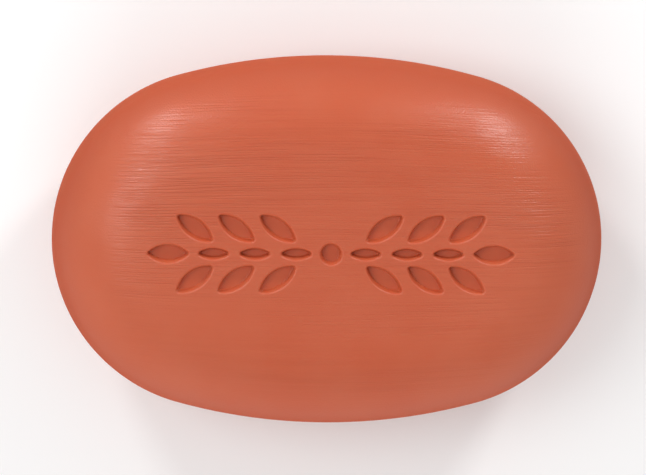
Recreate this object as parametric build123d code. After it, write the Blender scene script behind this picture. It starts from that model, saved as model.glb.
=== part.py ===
from build123d import *
import math
import os

# An oval bar of soap that lies on its back with its face up, in millimetres and degrees.
# +X runs along the bar, +Y across it and +Z up; the bar rests on z = 0, centred on the origin.

# Outline of the bar, an oval of four arcs; the long sides rise past the width of the round ends
LENGTH = 92.0
WIDTH = 61.8
SIDE_RISE = 2.4

# Section of the bar: a side band drafted to both sides of a parting line, then a seam and a round shoulder
THICKNESS = 30.0
BAND_HEIGHT = 13.0
BAND_DRAFT = 9.0
SHOULDER_LEAN = 45.0
SHOULDER_ROUND = 13.0

# Sprig pressed into the face: a bead, and on either side a twig with leaves
PRESS_DEPTH = 1.5
PRESS_DRAFT = 15.0
PRESS_LAND = 1.0
BEAD_DIAMETER = 3.6
STEM_PIECES = 3
STEM_SPACING = 6.8
STEM_WIDTH = 2.0
LEAF_LENGTH = 7.6
LEAF_WIDTH = 3.2
LEAF_LEAN = 36.0
END_LEAF_LENGTH = 7.2

# Places that follow from the sizes
END_RADIUS = WIDTH / 2 - SIDE_RISE
END_CENTRE = LENGTH / 2 - END_RADIUS
SIDE_RADIUS = (END_CENTRE**2 + (WIDTH / 2) ** 2 - END_RADIUS**2) / (2 * SIDE_RISE)
SIDE_CENTRE = SIDE_RADIUS - WIDTH / 2
END_HALF_ANGLE = math.degrees(math.atan2(SIDE_CENTRE, END_CENTRE))
SIDE_HALF_ANGLE = 90 - END_HALF_ANGLE
MIDDLE = THICKNESS / 2


def oval():
    """The outline of the bar at its parting line."""
    right = CenterArc((END_CENTRE, 0), END_RADIUS, -END_HALF_ANGLE, 2 * END_HALF_ANGLE)
    upper = CenterArc((0, -SIDE_CENTRE), SIDE_RADIUS, END_HALF_ANGLE, 2 * SIDE_HALF_ANGLE)
    left = CenterArc((-END_CENTRE, 0), END_RADIUS, 180 - END_HALF_ANGLE, 2 * END_HALF_ANGLE)
    lower = CenterArc((0, SIDE_CENTRE), SIDE_RADIUS, 180 + END_HALF_ANGLE, 2 * SIDE_HALF_ANGLE)
    return make_face([right, upper, left, lower])


def top_face(shape):
    """The highest face of a shape."""
    return shape.faces().sort_by(Axis.Z)[-1]


def front():
    """The bar above its parting line: half the band, and a leaning shoulder rounded into the face."""
    band = extrude(Pos(0, 0, MIDDLE) * oval(), BAND_HEIGHT / 2, taper=BAND_DRAFT)
    cap = extrude(top_face(band), (THICKNESS - BAND_HEIGHT) / 2, taper=SHOULDER_LEAN)
    return band + fillet(top_face(cap).edges(), SHOULDER_ROUND)


def bar():
    """The plain bar; its back is like its front."""
    upper = front()
    return upper + mirror(upper, Plane.XY.offset(MIDDLE))


def bead_die(diameter):
    """A round die at the height of the face, with drafted walls that run on above it."""
    lean = PRESS_DEPTH * math.tan(math.radians(PRESS_DRAFT))
    return Pos(0, 0, THICKNESS) * Cone(diameter / 2 - lean, diameter / 2 + lean, 2 * PRESS_DEPTH)


def leaf_die(length, width):
    """A pointed die for a leaf or a piece of stem, where two wide round dies overlap."""
    diameter = (length**2 + width**2) / (2 * width)
    round_die = bead_die(diameter)
    apart = (diameter - width) / 2
    return Pos(0, apart, 0) * round_die & Pos(0, -apart, 0) * round_die


def twig():
    """The dies of the right-hand twig: pieces of stem that each bear two leaves, and an end leaf."""
    stem = leaf_die(STEM_SPACING - PRESS_LAND, STEM_WIDTH)
    leaf = leaf_die(LEAF_LENGTH, LEAF_WIDTH)
    end_leaf = leaf_die(END_LEAF_LENGTH, LEAF_WIDTH)
    lean = math.radians(LEAF_LEAN)
    leaf_x = LEAF_LENGTH / 2 * math.cos(lean)
    leaf_y = LEAF_LENGTH / 2 * math.sin(lean) + STEM_WIDTH / 2 + PRESS_LAND
    stem_x = (BEAD_DIAMETER + PRESS_LAND + STEM_SPACING) / 2
    dies = []
    for _ in range(STEM_PIECES):
        dies.append(Pos(stem_x, 0, 0) * stem)
        dies.append(Pos(stem_x + leaf_x, leaf_y, 0) * Rot(0, 0, LEAF_LEAN) * leaf)
        dies.append(Pos(stem_x + leaf_x, -leaf_y, 0) * Rot(0, 0, -LEAF_LEAN) * leaf)
        stem_x += STEM_SPACING
    dies.append(Pos(stem_x + (PRESS_LAND + END_LEAF_LENGTH - STEM_SPACING) / 2, 0, 0) * end_leaf)
    return dies


def sprig():
    """All that is pressed into the face."""
    right = Part() + twig()
    return right + mirror(right, Plane.YZ) + bead_die(BEAD_DIAMETER)


def soap_bar():
    """The whole bar, with the sprig pressed into its face."""
    return bar() - sprig()


os.makedirs("parts", exist_ok=True)
export_step(soap_bar(), "parts/soap_bar.step")
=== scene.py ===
import math

import bpy
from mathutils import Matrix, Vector


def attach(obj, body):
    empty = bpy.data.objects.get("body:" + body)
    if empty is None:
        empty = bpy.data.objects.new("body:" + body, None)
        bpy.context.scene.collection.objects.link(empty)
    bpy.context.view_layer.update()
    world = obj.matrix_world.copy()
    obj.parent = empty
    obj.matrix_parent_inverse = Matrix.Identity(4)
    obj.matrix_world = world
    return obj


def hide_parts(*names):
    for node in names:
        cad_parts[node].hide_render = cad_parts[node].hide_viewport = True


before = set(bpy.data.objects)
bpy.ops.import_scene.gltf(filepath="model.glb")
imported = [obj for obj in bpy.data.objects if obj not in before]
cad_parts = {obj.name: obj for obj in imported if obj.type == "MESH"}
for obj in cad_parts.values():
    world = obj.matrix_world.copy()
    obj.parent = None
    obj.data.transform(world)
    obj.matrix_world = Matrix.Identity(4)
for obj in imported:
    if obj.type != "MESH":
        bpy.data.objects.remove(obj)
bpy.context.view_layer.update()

# A pressed oval bar of soap that lies on its back with its face up, in metres and radians.
# +X runs along the bar, +Y across it to the far side and +Z up; the bar rests on z = 0.
MM = 0.001

# Outline of the bar at its parting line, an oval of four arcs
LENGTH = 92.0 * MM
WIDTH = 61.8 * MM
SIDE_RISE = 2.4 * MM

# Section of the bar: a side band drafted from the parting line, and a shoulder that curves into the face
THICKNESS = 30.0 * MM
BAND_HEIGHT = 13.0 * MM
BAND_DRAFT = math.radians(9.0)
SHOULDER_REACH = 17.0 * MM
SHOULDER_CURVE = 2.6

# Sprig pressed into the face: a bead, and on either side a twig with leaves
BEAD_DIAMETER = 3.6 * MM
STEM_PIECES = 3
STEM_SPACING = 6.8 * MM
STEM_WIDTH = 2.0 * MM
LEAF_LENGTH = 7.6 * MM
LEAF_WIDTH = 3.2 * MM
LEAF_LEAN = math.radians(36.0)
END_LEAF_LENGTH = 7.2 * MM

# Pressing of the sprig: its depth, its walls, the land between two dies, and the rounds
PRESS_DEPTH = 1.5 * MM
PRESS_DRAFT = math.radians(15.0)
PRESS_LAND = 1.0 * MM
TIP_ROUND = 0.5 * MM
FLOOR_ROUND = 0.12 * MM
RIM_ROUND = 0.45 * MM

# Mesh of the bar: points round it, rows from back to face, and the share of the rows on the band
BAR_SEGMENTS = 288
BAR_ROWS = 80
BAND_SHARE = 0.3

# The section is averaged over a few shifts of its rows, which softens its seams and its parting line
SOFT_REACH = 0.09
SOFT_SAMPLES = 6
SOFT_SHIFTS = [SOFT_REACH * (2 * sample / (SOFT_SAMPLES - 1) - 1) for sample in range(SOFT_SAMPLES)]

# Mesh of a die: points round it, rows on its floor edge and rim, and one more each for its wall and flare
DIE_SEGMENTS = 64
FLOOR_ROWS = 4
RIM_ROWS = 4
DIE_ROWS = FLOOR_ROWS + 1 + RIM_ROWS + 1

# The rim stops a little short of level, and flares out above the face to cut it cleanly
RIM_STOP = math.radians(4.0)
RIM_FLARE = 0.4 * MM

# Faces that look this straight up or down are shaded flat
FLAT_LIMIT = 0.99999

# Name of the mark on each face of the mesh: 1 in the pressing and 0 elsewhere
PRESSED = "pressed"

# Colours of the soap, of its streaks, the painted shade on its side band, its pale clouds and the painted
# sheen at its ends, and the painted light on its pressed floors
SOAP_COLOUR = (0.51, 0.094, 0.036, 1.0)
STREAK_COLOUR = (0.41, 0.064, 0.021, 1.0)
BAND_SHADE_COLOUR = (0.425, 0.066, 0.020, 1.0)
PALE_AND_SHEEN_COLOUR = (0.53, 0.118, 0.054, 1.0)
PRESSED_LIGHT_COLOUR = (0.62, 0.122, 0.046, 1.0)

# How strongly the streaks, the clouds and the painted sheen at the ends take their colours
STREAK_TINT = 0.42
CLOUD_TINT = 0.4
END_SHEEN_TINT = 0.45

# Where colours change: the painted sheen along the bar, the painted shade away from the parting line, and
# the painted light above the pressed floors
PAINTED_SHEEN_ENDS = (8.0 * MM, 34.0 * MM)
BAND_SHADE_EDGE = (4.0 * MM, 12.0 * MM)
PRESSED_LIGHT_EDGE = (0.1 * MM, 0.4 * MM)

# Streaks and scratches drawn along the face, and the patches in which they come and go
SCRATCH_LENGTH = 14.0 * MM
STREAK_LENGTH = 30.0 * MM
FINE_STREAK = 0.26 * MM
BROAD_STREAK = 1.1 * MM
STREAK_PATCH = 9.0 * MM
FINE_SHARE = 0.4

# Streaks bow in to the middle line of the bar towards its ends, by about this times x squared
STREAK_BOW = 70.0

# Where the face is drawn: high on the bar, more weakly on the near half, and not at the left end
DRAWN_HEIGHT = (THICKNESS - 6.5 * MM, THICKNESS - 1.5 * MM)
NEAR_SHARE = 0.55
NEAR_FADE = (-15.0 * MM, 10.0 * MM)
LEFT_STOP = (32.0 * MM, 38.0 * MM)

# Relief of the surface: a grain, and scratches that are deepest on the far left
GRAIN_SIZE = 0.25 * MM
GRAIN_HEIGHT = 0.012 * MM
SCRATCH_DEPTH = 0.08 * MM
MIDDLE_SHARE = 0.35
LEFT_RISE = (8.0 * MM, 26.0 * MM)
LEFT_FADE = (-10.0 * MM, 5.0 * MM)
RIGHT_SHARE = 0.3
RIGHT_RISE = (14.0 * MM, 26.0 * MM)

# Noises: their detail, and the values that count as 0 and as 1
FINE_NOISE = (1.0, 0.42, 0.66)
BROAD_NOISE = (2.0, 0.4, 0.7)
PATCH_NOISE = (1.0, 0.15, 0.65)
CLOUD_NOISE = (2.0, 0.25, 0.75)
GRAIN_NOISE = (1.0, 0.2, 0.8)

# Levels at which the flat noises are cut, apart from each other so that they differ
FINE_LEVEL = 0.0
BROAD_LEVEL = 7.0
PATCH_LEVEL = 3.0

# Gloss: dull on the band, smoothest on the shoulders and a little duller on the flats; the edges between
# them are measured from the parting line
BAND_ROUGHNESS = 0.95
SHOULDER_ROUGHNESS = 0.285
FLAT_ROUGHNESS = 0.435
PATCH_ROUGHNESS = 0.04
SHOULDER_EDGE = (3.0 * MM, 10.5 * MM)
FLAT_EDGE = (THICKNESS / 2 - 0.8 * MM, THICKNESS / 2)
SPECULAR_LEVEL = 0.45

# Light under the surface
GLOW_SHARE = 0.3
GLOW_DEPTH = 1.2 * MM
GLOW_SPREAD = (1.0, 0.35, 0.2)

# The view: from above, leaning a little to the far side and to the left
VIEW_LEAN = math.radians(9.6)
VIEW_TURN = math.radians(2.5)
VIEW_ROLL = math.radians(0.7)
VIEW_DISTANCE = 0.75
FRAME_WIDTH = 108.1 * MM
SENSOR_WIDTH = 36.0
CLIP_START = 0.05
AIM = Vector((-0.68 * MM, 0.28 * MM, THICKNESS / 2))

# Lights: the place of each, the side of its square and its power in watts
LEFT_SOFTBOX = ((-0.47, 0.79, 0.40), 0.18, 3.0)
RIGHT_SOFTBOX = ((0.52, 0.76, 0.40), 0.17, 3.7)
LEFT_PANEL = ((-0.55, 0.22, 0.81), 0.50, 2.5)
NEAR_FILL = ((-0.10, -1.10, 0.28), 1.0, 8.0)

# Surround: its strength above the horizon on the left and right, and below it on the far and near sides
SURROUND_COLOUR = (1.0, 1.0, 1.0, 1.0)
SKY_LEFT = 0.64
SKY_RIGHT = 0.50
GROUND_FAR = 0.1
GROUND_NEAR = 0.7
HORIZON = (-0.1, 0.1)
GROUND_TURN = (-0.4, 0.1)

# Floor
FLOOR_SIZE = 6.0
FLOOR_COLOUR = (0.93, 0.93, 0.93, 1.0)
FLOOR_ROUGHNESS = 0.9

# Named inputs of the node trees
BAR_SIZES = {
    "Length": LENGTH,
    "Width": WIDTH,
    "Side Rise": SIDE_RISE,
    "Thickness": THICKNESS,
    "Band Height": BAND_HEIGHT,
    "Band Draft": BAND_DRAFT,
    "Shoulder Reach": SHOULDER_REACH,
}
PRESSING_SIZES = {
    "Depth": PRESS_DEPTH,
    "Draft": PRESS_DRAFT,
    "Tip Round": TIP_ROUND,
    "Floor Round": FLOOR_ROUND,
    "Rim Round": RIM_ROUND,
}
DIE_SIZES = {
    "Length": LEAF_LENGTH,
    "Width": LEAF_WIDTH,
    **PRESSING_SIZES,
}
SPRIG_SIZES = {
    "Thickness": THICKNESS,
    "Land": PRESS_LAND,
    "Bead Diameter": BEAD_DIAMETER,
    "Stem Pieces": STEM_PIECES,
    "Stem Spacing": STEM_SPACING,
    "Stem Width": STEM_WIDTH,
    "Leaf Length": LEAF_LENGTH,
    "Leaf Width": LEAF_WIDTH,
    "Leaf Lean": LEAF_LEAN,
    "End Leaf Length": END_LEAF_LENGTH,
    **PRESSING_SIZES,
}
SOAP_BAR_SIZES = {**BAR_SIZES, **SPRIG_SIZES}

# Kinds of those inputs
SOCKET_KINDS = {float: "NodeSocketFloat", int: "NodeSocketInt"}


# Numbers and shapes inside a node tree

class Number:
    """A number inside a node tree. Arithmetic on it adds Math nodes."""

    def __init__(self, tree, socket):
        self.tree = tree
        self.socket = socket

    def result(self, operation, *values):
        """What a Math node makes of the values."""
        node = self.tree.nodes.new("ShaderNodeMath")
        node.operation = operation
        for entry, value in zip(node.inputs, values):
            feed(self.tree, value, entry)
        return Number(self.tree, node.outputs[0])

    def __add__(self, other):
        return self.result("ADD", self, other)

    def __radd__(self, other):
        return self.result("ADD", other, self)

    def __sub__(self, other):
        return self.result("SUBTRACT", self, other)

    def __rsub__(self, other):
        return self.result("SUBTRACT", other, self)

    def __mul__(self, other):
        return self.result("MULTIPLY", self, other)

    def __rmul__(self, other):
        return self.result("MULTIPLY", other, self)

    def __truediv__(self, other):
        return self.result("DIVIDE", self, other)

    def __pow__(self, other):
        return self.result("POWER", self, other)

    def __abs__(self):
        return self.result("ABSOLUTE", self)

    def __neg__(self):
        return self.result("MULTIPLY", self, -1.0)

    def above(self, limit):
        return self.result("GREATER_THAN", self, limit)

    def sign(self):
        return self.result("SIGN", self)

    def largest(self, other):
        return self.result("MAXIMUM", self, other)

    def smallest(self, other):
        return self.result("MINIMUM", self, other)

    def root(self):
        return self.result("SQRT", self)

    def sine(self):
        return self.result("SINE", self)

    def cosine(self):
        return self.result("COSINE", self)

    def tangent(self):
        return self.result("TANGENT", self)

    def share(self, start, end):
        """How far the number has come from start to end, held between 0 and 1."""
        return ((self - start) / (end - start)).largest(0.0).smallest(1.0)

    def ease(self, start, end):
        """The same share, easing in and out."""
        share = self.share(start, end)
        return share * share * (3 - 2 * share)


def feed(tree, value, entry):
    """Sets an input socket, or links it where the value comes from another node."""
    if isinstance(value, Number):
        tree.links.new(value.socket, entry)
    elif isinstance(value, bpy.types.NodeSocket):
        tree.links.new(value, entry)
    else:
        entry.default_value = value


def node_with(tree, kind, **values):
    """Adds a node and feeds its inputs by name, with underscores for spaces."""
    node = tree.nodes.new(kind)
    for name, value in values.items():
        feed(tree, value, node.inputs[name.replace("_", " ")])
    return node


def parts_of(tree, vector):
    """The three numbers of a vector."""
    split = node_with(tree, "ShaderNodeSeparateXYZ", Vector=vector)
    return [Number(tree, socket) for socket in split.outputs]


def vector_of(tree, x=0.0, y=0.0, z=0.0):
    """A vector of three numbers."""
    return node_with(tree, "ShaderNodeCombineXYZ", X=x, Y=y, Z=z).outputs[0]


def new_group(name, sizes):
    """Starts a geometry node tree with a named input for each size, and gives its two ends with it."""
    tree = bpy.data.node_groups.new(name, "GeometryNodeTree")
    for label, value in sizes.items():
        tree.interface.new_socket(label, in_out="INPUT", socket_type=SOCKET_KINDS[type(value)])
    tree.interface.new_socket("Shape", in_out="OUTPUT", socket_type="NodeSocketGeometry")
    start = tree.nodes.new("NodeGroupInput")
    end = tree.nodes.new("NodeGroupOutput")
    entries = {label: Number(tree, start.outputs[label]) for label in sizes}
    return tree, entries, end.inputs[0]


def use_group(tree, group, values):
    """Places a finished node tree inside another one."""
    node = tree.nodes.new("GeometryNodeGroup")
    node.node_tree = group
    for label, value in values.items():
        feed(tree, value, node.inputs[label])
    return node.outputs[0]


def joined(tree, *shapes):
    """Several shapes as one."""
    join = tree.nodes.new("GeometryNodeJoinGeometry")
    for shape in shapes:
        tree.links.new(shape, join.inputs[0])
    return join.outputs[0]


def placed(tree, shape, place, turn=0.0):
    """A shape turned about Z and moved to its place."""
    angle = vector_of(tree, z=turn)
    move = node_with(tree, "GeometryNodeTransform", Geometry=shape, Translation=place, Rotation=angle)
    return move.outputs[0]


def repeated(tree, shape, count, start, step):
    """Copies of a shape in a straight row."""
    line = node_with(tree, "GeometryNodeMeshLine", Count=count, Start_Location=start, Offset=step)
    copies = node_with(tree, "GeometryNodeInstanceOnPoints", Points=line.outputs[0], Instance=shape)
    return copies.outputs[0]


# Shapes of the bar

def tube_of_rows(tree, segments, rows):
    """A closed tube of radius 1 and height 2, with one flat face at each end."""
    tube = node_with(tree, "GeometryNodeMeshCylinder", Vertices=segments, Side_Segments=rows)
    tube.inputs["Radius"].default_value = 1.0
    tube.inputs["Depth"].default_value = 2.0
    return tube.outputs["Mesh"]


def point_of_tube(tree):
    """The place of each point of a tube, as three numbers from -1 to 1."""
    position = tree.nodes.new("GeometryNodeInputPosition")
    return parts_of(tree, position.outputs[0])


def place_on_lens(tree, tube, reach, arc, offset, grow, height):
    """Moves the rows of a tube onto a pointed outline of two arcs, grown outwards all round."""
    along, across, _ = point_of_tube(tree)
    x = (along * arc).largest(-reach).smallest(reach) + along * grow
    y = across.sign() * (abs(across) * arc - offset).largest(0.0) + across * grow
    place = vector_of(tree, x, y, height)
    return node_with(tree, "GeometryNodeSetPosition", Geometry=tube, Position=place).outputs[0]


def plain_bar_tree():
    """The bar without its sprig: an oval, a drafted band and shoulders that curve into flat faces."""
    tree, size, result = new_group("plain bar", BAR_SIZES)
    half_width = size["Width"] / 2
    end_radius = half_width - size["Side Rise"]
    reach = size["Length"] / 2 - end_radius
    side_radius = (reach**2.0 + half_width**2.0 - end_radius**2.0) / (2 * size["Side Rise"])
    middle = size["Thickness"] / 2
    half_band = size["Band Height"] / 2
    band_lean = size["Band Draft"].tangent()
    cap_height = middle - half_band
    _, _, row = point_of_tube(tree)
    rise = 0.0
    inset = 0.0
    for shift in SOFT_SHIFTS:
        shifted = row + shift
        level = abs(shifted)
        in_band = level.share(0.0, BAND_SHARE)
        in_shoulder = level.share(BAND_SHARE, 1.0)
        left_over = (1 - in_shoulder) ** SHOULDER_CURVE
        rise = rise + shifted.sign() * (in_band * half_band + (1 - left_over) * cap_height)
        inset = inset + in_band * half_band * band_lean + in_shoulder * size["Shoulder Reach"]

    # The average draws the parting line in a little, so that width is given back all over
    lost_width = half_band * band_lean * (sum(map(abs, SOFT_SHIFTS)) / BAND_SHARE)
    inset = (inset - lost_width) / SOFT_SAMPLES
    height = middle + rise / SOFT_SAMPLES
    tube = tube_of_rows(tree, BAR_SEGMENTS, BAR_ROWS)
    side_arc = side_radius - end_radius
    side_offset = side_radius - half_width
    bar = place_on_lens(tree, tube, reach, side_arc, side_offset, end_radius - inset, height)
    tree.links.new(bar, result)
    return tree


def die_tree():
    """A die for one leaf, piece of stem or bead, with a round floor edge, drafted walls and a round rim."""
    tree, size, result = new_group("die", DIE_SIZES)
    tip = size["Tip Round"]
    floor_round = size["Floor Round"]
    rim_round = size["Rim Round"]
    arc = (size["Length"] ** 2.0 + size["Width"] ** 2.0) / (4 * size["Width"])
    offset = arc - size["Width"] / 2
    core_arc = arc - tip
    reach = (core_arc**2.0 - offset**2.0).root()
    lean = size["Draft"].tangent()
    slant = size["Draft"].cosine()
    turn = math.pi / 2 - size["Draft"]
    _, _, level = point_of_tube(tree)
    row = level.share(-1.0, 1.0) * DIE_ROWS

    # The floor's edge turns up from level into the wall
    floor_angle = turn * row.share(0.0, FLOOR_ROWS)
    floor_centre = floor_round - size["Depth"]
    floor_grow = tip + floor_centre * lean - floor_round / slant + floor_round * floor_angle.sine()
    floor_height = floor_centre - floor_round * floor_angle.cosine()

    # The rim turns from the wall to nearly level
    rim_angle = turn + (RIM_STOP - turn) * row.share(FLOOR_ROWS + 1, DIE_ROWS - 1)
    rim_grow = tip - rim_round * lean + rim_round / slant - rim_round * rim_angle.sine()
    rim_height = rim_round * (rim_angle.cosine() - 1)

    # Rows above the middle of the wall follow the rim, and the last one flares out
    at_rim = row.above(FLOOR_ROWS + 0.5)
    flare = RIM_FLARE * row.share(DIE_ROWS - 1, DIE_ROWS)
    grow = floor_grow + (rim_grow - floor_grow) * at_rim + flare
    height = floor_height + (rim_height - floor_height) * at_rim + flare * math.tan(RIM_STOP)
    tube = tube_of_rows(tree, DIE_SEGMENTS, DIE_ROWS)
    tree.links.new(place_on_lens(tree, tube, reach, core_arc, offset, grow, height), result)
    return tree


def sprig_tree():
    """All the dies of the sprig at the height of the face: a bead, and a twig on either side of it."""
    tree, size, result = new_group("sprig", SPRIG_SIZES)
    group = die_tree()
    pressing = {label: size[label] for label in PRESSING_SIZES}

    def die(length, width):
        return use_group(tree, group, {"Length": length, "Width": width, **pressing})

    face = size["Thickness"]
    land = size["Land"]
    spacing = size["Stem Spacing"]
    half_leaf = size["Leaf Length"] / 2
    lean = size["Leaf Lean"]
    leaf_x = half_leaf * lean.cosine()
    leaf_y = half_leaf * lean.sine() + size["Stem Width"] / 2 + land
    stem = die(spacing - land, size["Stem Width"])
    leaf = die(size["Leaf Length"], size["Leaf Width"])
    far_leaf = placed(tree, leaf, vector_of(tree, leaf_x, leaf_y), lean)
    near_leaf = placed(tree, leaf, vector_of(tree, leaf_x, -leaf_y), -lean)

    first = (size["Bead Diameter"] + land + spacing) / 2
    start = vector_of(tree, first, z=face)
    leafy_stem = joined(tree, stem, far_leaf, near_leaf)
    stems = repeated(tree, leafy_stem, size["Stem Pieces"], start, vector_of(tree, spacing))
    end_x = first + spacing * size["Stem Pieces"] + (land + size["End Leaf Length"] - spacing) / 2
    end_leaf = die(size["End Leaf Length"], size["Leaf Width"])
    twig = joined(tree, stems, placed(tree, end_leaf, vector_of(tree, end_x, z=face)))
    other_twig = placed(tree, twig, vector_of(tree), math.pi)
    bead = die(size["Bead Diameter"], size["Bead Diameter"])
    sprig = joined(tree, twig, other_twig, placed(tree, bead, vector_of(tree, z=face)))
    real = node_with(tree, "GeometryNodeRealizeInstances", Geometry=sprig)
    tree.links.new(real.outputs[0], result)
    return tree


def marked(tree, shape, value):
    """A shape whose faces remember whether they belong to the pressing."""
    mark = tree.nodes.new("GeometryNodeStoreNamedAttribute")
    mark.data_type = "FLOAT"
    mark.domain = "FACE"
    mark.inputs["Name"].default_value = PRESSED
    mark.inputs["Value"].default_value = value
    tree.links.new(shape, mark.inputs["Geometry"])
    return mark.outputs[0]


def soap_bar_tree(soap):
    """The whole bar: the plain bar with the sprig pressed into it, shaded smooth off its flats."""
    tree, size, result = new_group("soap bar", SOAP_BAR_SIZES)
    bar = use_group(tree, plain_bar_tree(), {label: size[label] for label in BAR_SIZES})
    sprig = use_group(tree, sprig_tree(), {label: size[label] for label in SPRIG_SIZES})
    cut = tree.nodes.new("GeometryNodeMeshBoolean")
    cut.operation = "DIFFERENCE"
    cut.solver = "EXACT"
    tree.links.new(marked(tree, bar, 0.0), cut.inputs["Mesh 1"])
    tree.links.new(marked(tree, sprig, 1.0), cut.inputs["Mesh 2"])
    facing = tree.nodes.new("GeometryNodeInputNormal")
    _, _, upward = parts_of(tree, facing.outputs[0])
    curved = 1 - abs(upward).above(FLAT_LIMIT)
    smooth = node_with(tree, "GeometryNodeSetShadeSmooth", Geometry=cut.outputs[0], Shade_Smooth=curved)
    real = node_with(tree, "GeometryNodeRealizeInstances", Geometry=smooth.outputs[0])
    painted = node_with(tree, "GeometryNodeSetMaterial", Geometry=real.outputs[0], Material=soap)
    tree.links.new(painted.outputs[0], result)
    return tree


def soap_bar(soap):
    """Makes the bar as one plain mesh in the place of the solid."""
    tree = soap_bar_tree(soap)
    bar = bpy.data.objects.new("pressed_bar", bpy.data.meshes.new("blank"))
    bpy.context.scene.collection.objects.link(bar)
    pressed = bar.modifiers.new("pressed", "NODES")
    pressed.node_group = tree
    for item in tree.interface.items_tree:
        if item.in_out == "INPUT":
            pressed[item.identifier] = SOAP_BAR_SIZES[item.name]
    evaluated = bar.evaluated_get(bpy.context.evaluated_depsgraph_get())
    mesh = bpy.data.meshes.new_from_object(evaluated)
    bar.modifiers.remove(pressed)
    bar.data = mesh
    mesh.name = "pressed_bar"
    return bar


# Soap

def noise(tree, x, y, z, detail, low, high):
    """A noise at the given place, spread from 0 at low to 1 at high."""
    place = vector_of(tree, x, y, z)
    cloud = node_with(tree, "ShaderNodeTexNoise", Vector=place, Scale=1.0, Detail=detail)
    return Number(tree, cloud.outputs[0]).ease(low, high)


def mixed(tree, share, first, second):
    """A colour between two others."""
    mix = tree.nodes.new("ShaderNodeMix")
    mix.data_type = "RGBA"

    # A Mix node takes its two colours at inputs 6 and 7, and gives the new one at output 2
    feed(tree, share, mix.inputs[0])
    feed(tree, first, mix.inputs[6])
    feed(tree, second, mix.inputs[7])
    return mix.outputs[2]


def drawn_face(x, y, z, pressed):
    """How strongly each place is drawn."""
    near = NEAR_SHARE + (1 - NEAR_SHARE) * y.ease(*NEAR_FADE)
    return z.ease(*DRAWN_HEIGHT) * (1 - pressed) * near * (1 - (-x).ease(*LEFT_STOP))


def soap_colour(tree, x, y, z, pressed, streaks):
    """Clouded terracotta with a painted sheen paler to the ends, painted shade deeper on the band, painted
    light on the pressed floors, and the streaks over it.
    """
    cloud = noise(tree, x / STREAK_PATCH, y / STREAK_PATCH, z / STREAK_PATCH, *CLOUD_NOISE)
    # The clouds vary the tone at random; the paling towards the ends is a painted sheen
    paling_and_sheen = cloud * CLOUD_TINT + abs(x).ease(*PAINTED_SHEEN_ENDS) * END_SHEEN_TINT
    ground = mixed(tree, paling_and_sheen, SOAP_COLOUR, PALE_AND_SHEEN_COLOUR)
    away = abs(z - THICKNESS / 2)
    # Painted shade: the colour deepens on the band towards the parting line, darkening the edges of the bar
    ground = mixed(tree, 1 - away.ease(*BAND_SHADE_EDGE), ground, BAND_SHADE_COLOUR)
    # Painted light: the pressed floors are paler, lifting the shade in the hollows of the pressing
    above_floor = z - (THICKNESS - PRESS_DEPTH)
    ground = mixed(tree, pressed * (1 - above_floor.share(*PRESSED_LIGHT_EDGE)), ground, PRESSED_LIGHT_COLOUR)
    return mixed(tree, streaks * STREAK_TINT, ground, STREAK_COLOUR)


def soap_roughness(z, patch):
    """Dull on the band, smoothest on the shoulders, a little duller on the flats and in patches."""
    away = abs(z - THICKNESS / 2)
    shoulder = (SHOULDER_ROUGHNESS - BAND_ROUGHNESS) * away.ease(*SHOULDER_EDGE)
    flat = (FLAT_ROUGHNESS - SHOULDER_ROUGHNESS) * away.ease(*FLAT_EDGE)
    return BAND_ROUGHNESS + shoulder + flat + PATCH_ROUGHNESS * patch


def soap_relief(tree, x, y, z, scratches):
    """The height of the surface: grain, less the scratches."""
    grain = noise(tree, x / GRAIN_SIZE, y / GRAIN_SIZE, z / GRAIN_SIZE, *GRAIN_NOISE)
    far_left = (-x).share(*LEFT_RISE) * y.ease(*LEFT_FADE)
    to_ends = far_left + RIGHT_SHARE * x.share(*RIGHT_RISE)
    return grain * GRAIN_HEIGHT - scratches * (MIDDLE_SHARE + (1 - MIDDLE_SHARE) * to_ends) * SCRATCH_DEPTH


def soap_material():
    """Waxy terracotta soap, with fine streaks and scratches drawn along its face."""
    material = bpy.data.materials.new("terracotta soap")
    material.use_nodes = True
    tree = material.node_tree
    shader = tree.nodes["Principled BSDF"]
    place = tree.nodes.new("ShaderNodeTexCoord")
    x, y, z = parts_of(tree, place.outputs["Object"])
    mark = tree.nodes.new("ShaderNodeAttribute")
    mark.attribute_name = PRESSED
    pressed = Number(tree, mark.outputs["Fac"])

    bowed = y * (1 + STREAK_BOW * x * x)
    fine = noise(tree, x / SCRATCH_LENGTH, bowed / FINE_STREAK, FINE_LEVEL, *FINE_NOISE)
    broad = noise(tree, x / STREAK_LENGTH, bowed / BROAD_STREAK, BROAD_LEVEL, *BROAD_NOISE)
    patch = noise(tree, x / STREAK_LENGTH, y / STREAK_PATCH, PATCH_LEVEL, *PATCH_NOISE)
    drawn = patch * drawn_face(x, y, z, pressed)
    streaks = (fine * FINE_SHARE + broad * (1 - FINE_SHARE)) * drawn

    # Bump takes heights in units of its distance
    relief = soap_relief(tree, x, y, z, fine * drawn)
    bump = node_with(tree, "ShaderNodeBump", Height=relief / MM, Distance=MM)
    feed(tree, soap_colour(tree, x, y, z, pressed, streaks), shader.inputs["Base Color"])
    feed(tree, soap_roughness(z, patch), shader.inputs["Roughness"])
    feed(tree, bump.outputs[0], shader.inputs["Normal"])
    shader.inputs["Specular IOR Level"].default_value = SPECULAR_LEVEL
    shader.inputs["Subsurface Weight"].default_value = GLOW_SHARE
    shader.inputs["Subsurface Radius"].default_value = GLOW_SPREAD
    shader.inputs["Subsurface Scale"].default_value = GLOW_DEPTH
    return material


# Studio

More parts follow.
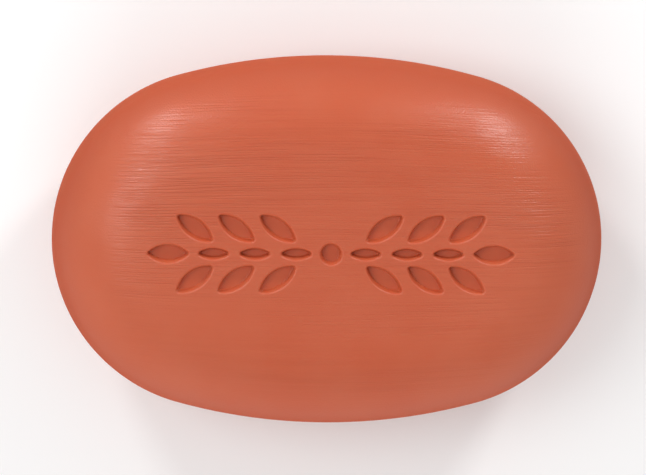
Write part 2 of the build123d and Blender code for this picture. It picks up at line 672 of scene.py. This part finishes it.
def floor():
    """A plain pale floor, kept out of the bar's reflections."""
    bpy.ops.mesh.primitive_plane_add(size=FLOOR_SIZE)
    plane = bpy.context.object
    plane.name = "floor"
    material = bpy.data.materials.new("pale floor")
    material.use_nodes = True
    shader = material.node_tree.nodes["Principled BSDF"]
    shader.inputs["Base Color"].default_value = FLOOR_COLOUR
    shader.inputs["Roughness"].default_value = FLOOR_ROUGHNESS
    plane.data.materials.append(material)
    plane.visible_glossy = False


def softbox(name, place, size, power):
    """A square soft light that faces the bar."""
    light = bpy.data.lights.new(name, "AREA")
    light.shape = "SQUARE"
    light.size = size
    light.energy = power
    lamp = bpy.data.objects.new(name, light)
    lamp.location = place
    lamp.rotation_euler = (AIM - Vector(place)).to_track_quat("-Z", "Y").to_euler()
    bpy.context.scene.collection.objects.link(lamp)
    return lamp


def surround():
    """An even pale surround, a little dimmer on the right, and dark below the horizon on the far side."""
    world = bpy.data.worlds.new("surround")
    world.use_nodes = True
    tree = world.node_tree
    way = tree.nodes.new("ShaderNodeTexCoord")
    x, y, z = parts_of(tree, way.outputs["Generated"])
    sky = SKY_LEFT + (SKY_RIGHT - SKY_LEFT) * x.share(-1.0, 1.0)
    ground = GROUND_FAR + (GROUND_NEAR - GROUND_FAR) * (-y).share(*GROUND_TURN)
    background = tree.nodes["Background"]
    background.inputs["Color"].default_value = SURROUND_COLOUR
    feed(tree, ground + (sky - ground) * z.share(*HORIZON), background.inputs["Strength"])
    bpy.context.scene.world = world


def studio():
    """Softboxes at the far left and far right, a broad panel on the left and a fill that leaves no gleam."""
    softbox("left softbox", *LEFT_SOFTBOX)
    softbox("right softbox", *RIGHT_SOFTBOX)
    softbox("left panel", *LEFT_PANEL)
    fill = softbox("near fill", *NEAR_FILL)
    fill.visible_glossy = False
    surround()
    bpy.context.scene.view_settings.view_transform = "Standard"


def camera():
    """Looks down on the bar, with the bar's +Y side up in the picture."""
    lens = bpy.data.cameras.new("camera")
    lens.sensor_width = SENSOR_WIDTH
    lens.lens = SENSOR_WIDTH * VIEW_DISTANCE / FRAME_WIDTH
    lens.clip_start = CLIP_START
    eye = bpy.data.objects.new("camera", lens)
    eye.rotation_euler = (-VIEW_LEAN, -VIEW_TURN, VIEW_ROLL)
    eye.location = AIM + eye.rotation_euler.to_matrix() @ Vector((0.0, 0.0, VIEW_DISTANCE))
    bpy.context.scene.collection.objects.link(eye)
    bpy.context.scene.camera = eye


bar = soap_bar(soap_material())
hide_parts("soap_bar")
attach(bar, "root")
floor()
studio()
camera()
